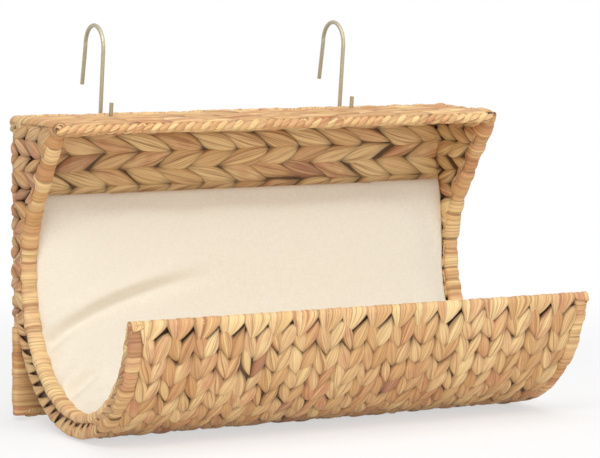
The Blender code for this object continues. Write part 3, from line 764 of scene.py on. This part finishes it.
class BED_OT_weave_sides(bpy.types.Operator):
    """Weave the two side panels and the leaf band on the trough's ends"""

    bl_idname = "bed.weave_sides"
    bl_label = "Weave the sides"

    PLAITS = 7
    PERIOD = 28.2 * MM
    PITCH = 27 * MM
    LEAF = (44 * MM, 16.5 * MM, 2.6 * MM)
    FIRST_PLAIT = 270 * MM
    FRONT = -112 * MM
    HEIGHTS = (78 * MM, 271 * MM)

    # The sheets of painted shade under the leaf: their x, their rear edge, and their radius round the trough
    SHADE_SHEET_X = (220.5 * MM, 227 * MM)
    SHADE_SHEET_REAR_Y = -0.5 * MM
    SHADE_SHEET_TOP = 266 * MM
    SHADE_SHEET_R = 124 * MM

    # The end band: its wedges, its angles, and its sections, as distances in millimetres from the
    # bed's middle and from the trough's middle line
    WEDGES = 27
    BAND_ANGLES = (math.radians(-4), math.radians(-170))
    FRONT_FROM = math.radians(-112)
    FRONT_SECTION = (
        (227.6, 126.2), (229.6, 124.6), (230.4, 121), (230.6, 118), (230, 115), (227.5, 113))
    REAR_SECTION = (
        (223, 127.2), (228.4, 127.4), (230.2, 126), (230.4, 122), (229.2, 117.5), (226.5, 112.5))

    def execute(self, context):
        for side, word in ((-1, "left"), (1, "right")):
            work = Patchwork(seed=31 + side)
            for outward in (True, False):
                for row in range(self.PLAITS):
                    # The inner faces take a paler tone than the outer ones: painted light, which lifts the
                    # shade they lie in under the shelf
                    lay_plait(
                        work, side_face(side, outward), self.FIRST_PLAIT - row * self.PERIOD,
                        self.FRONT, 14 * MM, self.PERIOD, self.PITCH, self.LEAF, axis=0,
                        tone=0.6 if outward else 0.0, keep=lambda y, z: y > rim_edge(z) - 9 * MM,
                        limits=((self.FRONT, (9 if outward else -8) * MM), self.HEIGHTS))
            self.lay_end_band(work, side)
            self.lay_painted_shade_sheets(work, side)
            put_leaf(context, work, "woven_side_" + word, "leaf_weave", word + "_side_weave")
        return {"FINISHED"}

    def lay_painted_shade_sheets(self, work, side):
        """The sheets of painted shade under the panel's leaf and the end band."""
        z = np.linspace(self.SHADE_SHEET_TOP, RIM_Z, 24)
        angle = np.radians(np.linspace(-2, -166, 40))
        rear = np.concatenate([
            np.stack([np.full(len(z), self.SHADE_SHEET_REAR_Y), z], axis=-1),
            circle(TROUGH_Y, TROUGH_Z, self.SHADE_SHEET_R, angle)])
        front = np.concatenate([np.stack([rim_edge(z), z], axis=-1), circle(RIM_Y, RIM_Z, RIM_R, angle)])
        for level, flip in zip(self.SHADE_SHEET_X, (side > 0, side < 0)):
            sheet = np.empty((len(z) + len(angle), 2, 3))
            sheet[..., 0] = side * level
            sheet[:, 0, 1:] = rear
            sheet[:, 1, 1:] = front
            work.painted_shade_sheet(sheet, flip=flip)

    def lay_end_band(self, work, side):
        """Wedges of leaf that turn over the trough's end, with gaps beside the inner winding."""
        start, stop = self.BAND_ANGLES
        turn = (stop - start) / self.WEDGES
        a = np.linspace(0, 1, 12)[:, None]
        b = np.linspace(-1, 1, 8)[None, :]
        for index in range(self.WEDGES):
            middle_angle = start + turn * (index + 0.5) + work.jitter(0.12) * turn
            front = middle_angle < self.FRONT_FROM
            section = np.array(self.FRONT_SECTION if front else self.REAR_SECTION) * MM
            knots = np.linspace(0, 1, len(section))
            out, radius = (np.interp(a, knots, section[:, k]) for k in (0, 1))
            narrow = 0.6 + 0.6 * a if front else 1.3 - 0.9 * np.clip(a - 0.1, 0, 1)
            lean = (-1.5 if front else 1.25) * turn * a + work.jitter(0.1) * turn
            angle = middle_angle + (0.6 if front else -0.4) * turn + lean + b * 0.5 * turn * narrow
            swell = (1.1 * MM * (1 - np.abs(b) ** 3) - 0.6 * MM) * (0.5 + 0.5 * np.sin(math.pi * a))
            x = side * (out + swell * np.clip(3 * a, 0, 1))
            radius = radius + swell * np.clip(1 - 2.5 * a, 0, 1)
            # Painted shade: each wedge darkens at its edges, and towards its outer end on the front half and
            # its inner end on the back half
            fade = 0.75 * (1 - a) ** 2 if front else 0.5 * a ** 4
            shade = np.clip(1.1 - 0.7 * np.abs(b) ** 6 - fade, 0, 1)
            work.grid(round_trough(x, radius, angle), a * 20 * MM, b * 9 * MM + 4 * MM * a,
                      work.pick_tint(0.65, 0.4) if front else work.pick_tint(0.4, 0.22), shade)


class BED_OT_wind_rims(bpy.types.Operator):
    """Wind the leaf round the curved rims and fold it over the front rim"""

    bl_idname = "bed.wind_rims"
    bl_label = "Wind the rims"

    # The side rims: their x, how far inside the edge they run, their half widths and their bulge
    RIM_X = {-1: -223.0 * MM, 1: 226.6 * MM}
    RIM_INSET = 3.6 * MM
    RIM_TOP, RIM_CEILING = 271 * MM, 272.5 * MM
    RIM_HALF = (7.0 * MM, 4.6 * MM)
    RIM_BULGE = 2.1 * MM
    RIM_WIDTHS = ((0, 13), (0.04, 9), (0.07, 5.2), (0.1, 7.5), (0.16, 7.5), (0.22, 7), (0.28, 6),
                  (0.33, 4.8), (0.39, 4.3), (1, 4.2))

    # The same for the band outside the lower stretch of a rim
    BAND_X = 223.4 * MM
    BAND_INSET = 4.6 * MM
    BAND_HALF = (6.0 * MM, 4.8 * MM)
    BAND_BULGE = 1.7 * MM
    BAND_WIDTHS = ((0, 2.5), (0.12, 4.8), (1, 4.8))

    # The front rim's fold: its radius, how far it goes round, and the length of its strips
    FOLD_R = 4.9 * MM
    FOLD_ANGLE = math.radians(200)
    FOLD_START = math.radians(20)
    STRIP = 17 * MM
    END_STRIP = 3 * MM
    STRIP_LEAN = -8.5 * MM
    FRONT_END_X, FRONT_END_R = 229.5 * MM, 5.4 * MM

    def execute(self, context):
        sizes = context.scene.bed.weave
        for side, word in ((-1, "left"), (1, "right")):
            work = Patchwork(seed=41 + side)
            path = rim_line(self.RIM_X[side], -self.RIM_INSET, self.RIM_TOP)
            # The winding's tone runs paler towards the rim's lower end: painted light, for the light that falls
            # there from the front and the left
            wind_tube(
                work, path, *self.RIM_HALF, (1, 0, 0), sizes.turn_pitch, self.RIM_BULGE,
                tone=0.72, tone_end=-0.6, spread=0.42, seam=90, square=0.85, widths=self.RIM_WIDTHS,
                ceiling=self.RIM_CEILING)
            angles = np.linspace(math.radians(-78), math.radians(-174), 60)
            path = round_trough(side * self.BAND_X, TROUGH_R - self.BAND_INSET, angles)
            wind_tube(
                work, path, *self.BAND_HALF, (1, 0, 0), 1.25 * sizes.turn_pitch, self.BAND_BULGE,
                tone=0.6, spread=0.35, seam=270, square=0.6, rows=12, widths=self.BAND_WIDTHS)
            put_leaf(context, work, "wound_rim_" + word, "leaf_binding", word + "_rim_binding")
        work = Patchwork(seed=47)
        columns, period = columns_of(sizes)
        for index in range(-1, columns + 1):
            self.fold_strip(work, index, period, inside=0 <= index < columns)
        for side in (-1, 1):
            close_end(work, (side * self.FRONT_END_X, FRONT_RIM_Y, FRONT_RIM_Z), (side, 0, 0), (0, 1, 0),
                      self.FRONT_END_R, self.FRONT_END_R, (0.3, 0.2), 5 * MM)
        put_leaf(context, work, "folded_front_rim", "leaf_binding", "front_rim_binding")
        return {"FINISHED"}

    def fold_strip(self, work, index, period, inside):
        """Leaf folded over the front rim in two layers, which end in a point on the weave."""
        a = np.linspace(0, 1, 17)[:, None]
        b = np.linspace(-1, 1, 9)[None, :]
        centre = -INNER_X + (index + 0.5) * period + work.jitter(1.4 * MM)
        deep = (self.STRIP if inside else self.END_STRIP) + work.jitter(2.5 if inside else 0.5) * MM
        over = self.FOLD_ANGLE * self.FOLD_R
        lean = (self.STRIP_LEAN + work.jitter(2.5 * MM)) * inside
        for low, high, rise in ((-1, 0.25, 0.0), (-0.3, 1, 0.35 * MM)):
            own = (b + 1) / 2 * (high - low) + low
            place = a * (over + deep * (1 if rise else 0.92))
            angle = np.clip(place / self.FOLD_R, 0, self.FOLD_ANGLE) - self.FOLD_START
            beyond = np.clip(place - over, 0, None)
            share = np.clip(beyond / deep, 0, 1)
            lift = rise + (1 - np.abs(b) ** 5) * 0.35 * MM + np.sin(math.pi * share) * 0.9 * MM
            lift = lift + 0.2 * MM * np.cos(own * 9 + index)
            fold = circle(FRONT_RIM_Y, FRONT_RIM_Z, self.FOLD_R + lift, angle)
            fold[..., 1] -= beyond
            down = TROUGH_R + 0.6 * MM + lift - 0.8 * MM * share ** 3
            turn = FRONT_ANGLE - math.radians(0.6) + beyond / TROUGH_R
            ease = np.clip(beyond / (3 * MM), 0, 1)[..., None]
            half = 0.53 * period * np.clip(1 - share, 0, 1) ** 0.8 + 0.3 * MM
            slide = lean * np.clip(place / (over + deep), 0, 1) ** 1.5
            x = np.clip(centre + own * half + slide, -HALF_WIDTH, HALF_WIDTH)
            points = np.empty((*x.shape, 3))
            points[..., 0] = x
            points[..., 1:] = fold * (1 - ease) + circle(TROUGH_Y, TROUGH_Z, down, turn) * ease
            # Painted shade at the strip's two edges, where the strips meet
            shade = np.clip(1.05 - 0.6 * np.abs(b) ** 10, 0, 1)
            work.grid(points, place, own * 0.5 * period, work.pick_tint(0.35), shade)


class BED_OT_wind_frame(bpy.types.Operator):
    """Wind the leaf round the posts, the back's top and bottom, and the shelf's edges"""

    bl_idname = "bed.wind_frame"
    bl_label = "Wind the frame"

    # A post: its ends, its half widths and its bulge, and the same for its wide foot
    POST_SPAN, POST_HALF, POST_BULGE = (66 * MM, 272 * MM), (5.6 * MM, 5.4 * MM), 1.3 * MM
    FOOT_SPAN, FOOT_HALF, FOOT_BULGE = (2 * MM, 83 * MM), (14.0 * MM, 5.2 * MM), 1.2 * MM
    FOOT_X = 217.6 * MM

    # A side edge of the shelf: its ends, its half widths, the width of a turn and its bulge
    EDGE_REAR_Y = 1 * MM
    EDGE_SHORT = {-1: 3.5 * MM, 1: 6 * MM}
    EDGE_FALL = 2 * MM
    EDGE_HALF, EDGE_PITCH, EDGE_BULGE = (6.1 * MM, 6.0 * MM), 20 * MM, 3.2 * MM
    ENDS_TINT = (0.3, 0.2)

    # The rope: how far its ends reach past the sides, its strands, their offset and their lay
    ROPE_PAST = (6 * MM, 4 * MM)
    STRAND, STRAND_OFFSET, ROPE_LAY = 2.9 * MM, 1.9 * MM, 16.4 * MM

    # The back's top and bottom: name, node, half depth, turn width, skew, bulge and seed
    ROLLS = (
        ("wound_bottom", "bottom_back_binding", 5.4 * MM, 12 * MM, 0, 1.2 * MM, 73),
        ("wound_top_roll", "top_back_roll", 6.1 * MM, 14 * MM, 3 * MM, 1.3 * MM, 75),
    )

    def execute(self, context):
        for side, word in ((-1, "left"), (1, "right")):
            self.wind_post(context, side, word)
            self.wind_edge(context, side, word)
        half = INNER_X + 2 * MM
        for name, node, radius, pitch, skew, bulge, seed in self.ROLLS:
            work = Patchwork(seed)
            _, y, z = middle(node)
            wind_tube(
                work, [(-half, y, z), (half, y, z)], radius, radius, (0, 1, 0), pitch, bulge,
                tone=0.3, skew=skew, rows=9, rough=0.2, spread=0.25)
            put_leaf(context, work, name, "leaf_binding", node)
        work = Patchwork(seed=83)
        left, right = -half - self.ROPE_PAST[0], half + self.ROPE_PAST[1]
        twist_rope(work, left, right, ROPE_Y, ROPE_Z, self.STRAND, self.STRAND_OFFSET, self.ROPE_LAY)
        close_end(work, (right, ROPE_Y, ROPE_Z), (1, 0, 0), (0, 1, 0), 3.6 * MM, 3.6 * MM,
                  self.ENDS_TINT, 4 * MM)
        put_leaf(context, work, "twisted_front_rope", "leaf_binding", "shelf_front_rope")
        return {"FINISHED"}

    def wind_post(self, context, side, word):
        """A post's winding, and the wider one round its foot and the back's lowest stretch."""
        work = Patchwork(seed=51 + side)
        turn = context.scene.bed.weave.turn_pitch
        seam = 0 if side < 0 else 180
        post = [(side * END_X, POST_Y, z) for z in self.POST_SPAN]
        foot = [(side * self.FOOT_X, POST_Y, z) for z in self.FOOT_SPAN]
        wind_tube(
            work, post, *self.POST_HALF, (1, 0, 0), turn, self.POST_BULGE, tone=0.7, seam=seam)
        wind_tube(
            work, foot, *self.FOOT_HALF, (1, 0, 0), turn, self.FOOT_BULGE, tone=0.75, seam=seam,
            segments=40, square=0.5)
        close_end(work, post[1], (0, 0, 1), (1, 0, 0), 5.4 * MM, 5.2 * MM, self.ENDS_TINT, MM)
        put_leaf(context, work, "wound_post_" + word, "leaf_binding", word + "_post_binding")

    def wind_edge(self, context, side, word):
        """The few wide turns round one side edge of the shelf, with both its ends."""
        work = Patchwork(seed=57 + side)
        rear = (side * END_X, self.EDGE_REAR_Y, EDGE_Z)
        front = (side * END_X, SHELF_FRONT_Y + self.EDGE_SHORT[side], EDGE_Z - self.EDGE_FALL)
        wind_tube(
            work, [rear, front], *self.EDGE_HALF, (1, 0, 0), self.EDGE_PITCH, self.EDGE_BULGE,
            tone=0.4, skew=-side * 5 * MM, rows=11, rough=0.15, seam=0 if side < 0 else 180)
        close_end(work, front, (0, -1, 0), (1, 0, 0), 5.7 * MM, 5.7 * MM, (0.5, 0.2), 1.5 * MM)
        close_end(work, rear, (0, 1, 0), (1, 0, 0), 5.6 * MM, 5.6 * MM, self.ENDS_TINT, MM)
        put_leaf(context, work, "wound_edge_" + word, "leaf_binding", "shelf_%s_edge" % word)


class BED_OT_sew_cushion(bpy.types.Operator):
    """Sew the cushion that lies in the trough and up the back"""

    bl_idname = "bed.sew_cushion"
    bl_label = "Sew the cushion"

    VOXEL = 5 * MM
    FRAMES = 20
    SWELL_CAP = 4 * MM

    # Where the filled pad may reach: to the side panels, to the weave behind it, and its top edge
    REACH = 217.2 * MM
    WALL = 118.0 * MM
    TOP = 204.5 * MM
    STRIP = 8 * MM
    STRIPS = 55

    # Its rim against the basket: where it begins, how much it may rise, and how far it spreads
    RIM_X, RIM_RISE = 206 * MM, 1.06
    SPREAD_X, SPREAD_OVER = 140 * MM, 60 * MM
    SPREAD, SPREAD_BELOW = 4 * MM, 9 * MM
    SPREAD_Z = 203 * MM

    # What softening leaves as it is, the ends and the top, and the radius that folds follow
    FIRM_X, FIRM_Z = 214 * MM, 202 * MM
    FOLD_EDGE_X, FOLD_FACE, FOLD_R = 217 * MM, 6 * MM, 106 * MM

    # Each fold's ends, in x and in height measured along the cushion, its depth and half width
    FOLDS = (
        ((-224, 62), (-40, 126), 9.0, 6.5),
        ((-218, 2), (-172, 28), 8.0, 5),
    )

    def execute(self, context):
        pad = self.cut(context)
        self.fill(context, pad)
        self.settle(pad)
        self.soften(context, pad)
        self.fold(pad)
        smooth = pad.modifiers.new("Smooth", "SUBSURF")
        smooth.levels = smooth.render_levels = 1
        pad.data.shade_smooth()
        pad.data.materials.clear()
        pad.data.materials.append(cloth_material("cushion_cloth"))
        put(pad, "cushion_body", "cushion_cloth", "cushion")
        return {"FINISHED"}

    def cut(self, context):
        """A copy of the construction's plain pad, a little smaller, in even squares."""
        source = bpy.data.objects["cushion"]
        pad = bpy.data.objects.new("cushion_cover", source.data.copy())
        context.scene.collection.objects.link(pad)
        self.shape(
            context, pad, ("REMESH", {"mode": "VOXEL", "voxel_size": self.VOXEL}),
            ("SMOOTH", {"factor": 0.5, "iterations": 4}),
            ("DISPLACE", {"strength": -0.2 * MM, "mid_level": 0.0}))
        return pad

    def shape(self, context, pad, *steps):
        """Run modifiers on the pad and keep what they make."""
        for kind, settings in steps:
            step = pad.modifiers.new(kind.title(), kind)
            for key, value in settings.items():
                setattr(step, key, value)
        self.apply(context, pad)

    def apply(self, context, pad):
        """Turn what the modifiers show into the pad's own mesh."""
        graph = context.evaluated_depsgraph_get()
        mesh = bpy.data.meshes.new_from_object(pad.evaluated_get(graph))
        pad.modifiers.clear()
        pad.data = mesh

    def fill(self, context, pad):
        """Blow the cover up like a filled pad, and cap how far each point may move."""
        before = self.read(pad)
        normals = self.read(pad, "normal")
        cloth = pad.modifiers.new("Cloth", "CLOTH")
        cloth.settings.use_pressure = True
        cloth.settings.uniform_pressure_force = 4.0
        cloth.settings.quality = 6
        cloth.settings.tension_stiffness = 12
        cloth.settings.bending_stiffness = 0.4
        cloth.settings.effector_weights.gravity = 0.0
        cloth.collision_settings.use_collision = False
        for step in range(1, self.FRAMES + 1):
            context.scene.frame_set(step)
        self.apply(context, pad)
        context.scene.frame_set(1)
        move = self.read(pad) - before
        outward = np.sum(move * normals, axis=1, keepdims=True)
        sideways = move - normals * outward
        move = normals * np.maximum(outward, -0.4 * MM) + 0.12 * sideways
        length = np.linalg.norm(move, axis=1, keepdims=True)
        move *= np.minimum(1, self.SWELL_CAP / np.maximum(length, 1e-9))
        self.write(pad, before + move)

    def settle(self, pad):
        """Let the filled pad reach the side panels and rest flat against the weave behind it."""
        points = self.read(pad)
        x, y, z = points.T
        x *= self.REACH / np.abs(x).max()
        low = z < TROUGH_Z
        bins = np.clip(((x + self.REACH) / self.STRIP).astype(int), 0, self.STRIPS - 1)
        tops = np.zeros(self.STRIPS)
        np.maximum.at(tops, bins, z)
        tops = np.interp(x, (np.arange(self.STRIPS) + 0.5) * self.STRIP - self.REACH, tops)
        rise = (self.TOP - TROUGH_Z) / (tops - TROUGH_Z)
        rise = np.where(np.abs(x) < self.RIM_X, rise, np.minimum(rise, self.RIM_RISE))
        z[:] = np.where(low, z, TROUGH_Z + (z - TROUGH_Z) * rise)
        low, radius, thick = self.measure(points)
        face = np.clip((thick + 2 * MM) / (8 * MM), 0, 1)
        below = np.clip((self.SPREAD_Z - z) / self.SPREAD_OVER, 0, 1)
        spread = (self.SPREAD + self.SPREAD_BELOW * below) * face
        x += np.sign(x) * spread * np.clip((np.abs(x) - self.SPREAD_X) / self.SPREAD_OVER, 0, 1)
        x[:] = np.clip(x, -self.REACH, self.REACH)
        shrink = np.where(low, np.minimum(radius, self.WALL) / np.maximum(radius, 1e-6), 1)
        y[:] = np.where(low, TROUGH_Y + (y - TROUGH_Y) * shrink, np.minimum(y, TROUGH_Y + self.WALL))
        z[:] = np.where(low, TROUGH_Z + (z - TROUGH_Z) * shrink, z)
        self.write(pad, points)

    def measure(self, points):
        """Which points lie in the trough, how far from its middle line, and how far off the weave."""
        _, y, z = points.T
        low = z < TROUGH_Z
        radius = np.hypot(y - TROUGH_Y, z - TROUGH_Z)
        return low, radius, np.where(low, self.WALL - radius, TROUGH_Y + self.WALL - y)

    def soften(self, context, pad):
        """Even out the pad's large faces, and leave its ends and its top edge as they are."""
        before = self.read(pad)
        self.shape(context, pad, ("SMOOTH", {"factor": 0.5, "iterations": 12}))
        share = np.clip((self.FIRM_X - np.abs(before[:, 0])) / (16 * MM), 0, 1)
        share *= np.clip((self.FIRM_Z - before[:, 2]) / (8 * MM), 0, 1)
        self.write(pad, before + (self.read(pad) - before) * share[:, None])

    def read(self, pad, what="co"):
        """The pad's points, or their normals."""
        flat = np.empty(len(pad.data.vertices) * 3)
        pad.data.vertices.foreach_get(what, flat)
        return flat.reshape(-1, 3)

    def write(self, pad, points):
        """Set the pad's points."""
        pad.data.vertices.foreach_set("co", points.ravel())
        pad.data.update()

    def fold(self, pad):
        """Press the soft folds of the photograph into the side that faces the cat."""
        points = self.read(pad)
        normals = self.read(pad, "normal")
        x, y, z = points.T
        low, _, thick = self.measure(points)
        inner = np.clip((thick - self.FOLD_FACE) / (6 * MM), 0, 1)
        inner *= np.clip((self.FOLD_EDGE_X - np.abs(x)) / (6 * MM), 0, 1)
        height = TROUGH_Z + self.FOLD_R * np.arctan2(z - TROUGH_Z, y - TROUGH_Y)
        height = np.where(low, height, z)
        push = np.zeros(len(points))
        for first, last, deep, wide in self.FOLDS:
            ends = (np.array(last) - first) * MM
            length = np.linalg.norm(ends)
            along = ends / length
            across, up = x - first[0] * MM, height - first[1] * MM
            u = across * along[0] + up * along[1]
            v = -across * along[1] + up * along[0]
            v = v - 0.055 * length * np.sin(np.clip(u / length, 0, 1) * math.pi)
            fade = np.clip(u / (0.1 * length) + 0.5, 0, 1) * np.clip((length - u) / (0.4 * length), 0, 1)
            valley = np.exp(-(v / (wide * MM)) ** 2)
            ridge = np.exp(-((v - 2.0 * wide * MM) / (1.5 * wide * MM)) ** 2)
            push += fade * (0.55 * ridge - valley) * deep * MM
        self.write(pad, points + normals * (push * inner)[:, None])


class BED_OT_coat_wires(bpy.types.Operator):
    """Coat the hooks and the hidden frame wires"""

    bl_idname = "bed.coat_wires"
    bl_label = "Coat the wires"

    def execute(self, context):
        s = Shader("hook_coat")
        fleck = s.noise(s.place(), 900.0, 3.0)
        color = s.mix(s.steps(fleck, 0.3, 0.7), linear(174, 165, 139), linear(189, 180, 153))
        hook = s.finish(
            Base_Color=color, Metallic=0.4, Roughness=0.36 + 0.1 * fleck,
            Normal=s.bump(fleck, 0.08, 0.2 * MM))
        s = Shader("frame_coat")
        fleck = s.noise(s.place(), 500.0, 3.0)
        wire = s.finish(
            Base_Color=s.mix(fleck, (0.05, 0.05, 0.05), (0.09, 0.085, 0.08)),
            Metallic=0.3, Roughness=0.5 + 0.15 * fleck)
        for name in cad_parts:
            if "hook" in name or "wire" in name:
                for slot in bpy.data.objects[name].material_slots:
                    slot.material = hook if "hook" in name else wire
        return {"FINISHED"}


class BED_OT_set_stage(bpy.types.Operator):
    """Set the floor, the lights and the camera"""

    bl_idname = "bed.set_stage"
    bl_label = "Set the stage"

    # Each lamp's name, place, size and share of the key light's power
    LAMPS = (
        ("key", (-1.3, -1.6, 1.9), 1.2, 1.03),
        ("top", (0.3, -0.5, 2.2), 1.4, 0.45),
        ("front", (-0.4, -2.6, 0.3), 1.2, 0.36),
        ("right_fill", (1.8, -1.4, 0.9), 1.6, 0.25),
    )
    LAMP_TARGET = (0, -0.12, 0.13)
    FLOOR_HALF = 8.0
    FLOOR_DROP = 2.5 * MM
    CAMERA_LENS = 174.17
    CAMERA_PLACE = (-1.2590, -2.4466, 0.4234)
    CAMERA_TURN = (84.587, 0, -28.513)

    def execute(self, context):
        look = context.scene.bed.stage
        scene = context.scene
        self.lay_floor(scene, look)
        scene.world = bpy.data.worlds.new("studio")
        scene.world.use_nodes = True
        s = Shader(tree=scene.world.node_tree)
        light = s.tree.nodes["Background"].inputs
        s.feed(light["Color"], (1, 1, 1, 1))
        s.feed(light["Strength"], s.seen() * (1 - look.fill) + look.fill)
        for name, place, size, share in self.LAMPS:
            data = bpy.data.lights.new(name, "AREA")
            data.energy = look.key_power * share
            data.size = size
            lamp = bpy.data.objects.new(name, data)
            lamp.location = place
            aim = Vector(self.LAMP_TARGET) - Vector(place)
            lamp.rotation_euler = aim.to_track_quat("-Z", "Y").to_euler()
            scene.collection.objects.link(lamp)
        camera = bpy.data.cameras.new("camera")
        camera.sensor_width = 36.0
        camera.lens = self.CAMERA_LENS
        camera.clip_start = 0.1
        camera.clip_end = 100.0
        view = bpy.data.objects.new("camera", camera)
        view.location = self.CAMERA_PLACE
        view.rotation_euler = [math.radians(angle) for angle in self.CAMERA_TURN]
        scene.collection.objects.link(view)
        scene.camera = view
        scene.view_settings.view_transform = "Standard"
        return {"FINISHED"}

    def lay_floor(self, scene, look):
        """A pale floor, which looks whiter the farther it is from the bed."""
        half = self.FLOOR_HALF
        mesh = bpy.data.meshes.new("floor")
        corners = [(x * half, y * half, 0) for x, y in ((-1, -1), (1, -1), (1, 1), (-1, 1))]
        mesh.from_pydata(corners, [], [(0, 1, 2, 3)])
        floor = bpy.data.objects.new("floor", mesh)
        floor.location = (0, 0, -self.FLOOR_DROP)
        scene.collection.objects.link(floor)
        s = Shader("pale_floor")
        glow = s.add("ShaderNodeEmission", {}, {"Color": (1, 1, 1, 1), "Strength": 1.0})
        s.finish(Base_Color=(*look.floor, 1), Roughness=0.9)
        away = s.add("ShaderNodeVectorMath", {"operation": "LENGTH"}, {0: s.place()}, output=1)
        share = s.seen() * (look.glow + (1 - look.glow) * s.steps(away, 0.3, 1.0))
        plain = Socket(s, s.shader.outputs[0])
        surface = s.add("ShaderNodeMixShader", {}, {0: share, 1: plain, 2: glow})
        s.feed(s.tree.nodes["Material Output"].inputs["Surface"], surface)
        mesh.materials.append(s.material)


OPERATORS = (
    BED_OT_weave_trough, BED_OT_weave_back, BED_OT_weave_sides, BED_OT_wind_rims,
    BED_OT_wind_frame, BED_OT_sew_cushion, BED_OT_coat_wires, BED_OT_set_stage,
)


class BED_PT_panel(bpy.types.Panel):
    """Lists the steps that make the bed."""

    bl_idname = "BED_PT_panel"
    bl_label = "Woven cat bed"
    bl_space_type = "VIEW_3D"
    bl_region_type = "UI"
    bl_category = "Cat bed"

    def draw(self, context):
        for operator in OPERATORS:
            self.layout.operator(operator.bl_idname)


CLASSES = (LeafLook, WeaveSizes, StageLook, BedSettings, *OPERATORS, BED_PT_panel)


def register():
    """Register the classes and the scene's settings."""
    for cls in CLASSES:
        bpy.utils.register_class(cls)
    bpy.types.Scene.bed = bpy.props.PointerProperty(type=BedSettings)


def unregister():
    """Take them away again."""
    del bpy.types.Scene.bed
    for cls in reversed(CLASSES):
        bpy.utils.unregister_class(cls)


def main():
    """Make every piece in order."""
    register()
    bpy.ops.bed.weave_trough()
    bpy.ops.bed.weave_back()
    bpy.ops.bed.weave_sides()
    bpy.ops.bed.wind_rims()
    bpy.ops.bed.wind_frame()
    bpy.ops.bed.sew_cushion()
    bpy.ops.bed.coat_wires()
    bpy.ops.bed.set_stage()


if __name__ == "__main__":
    main()
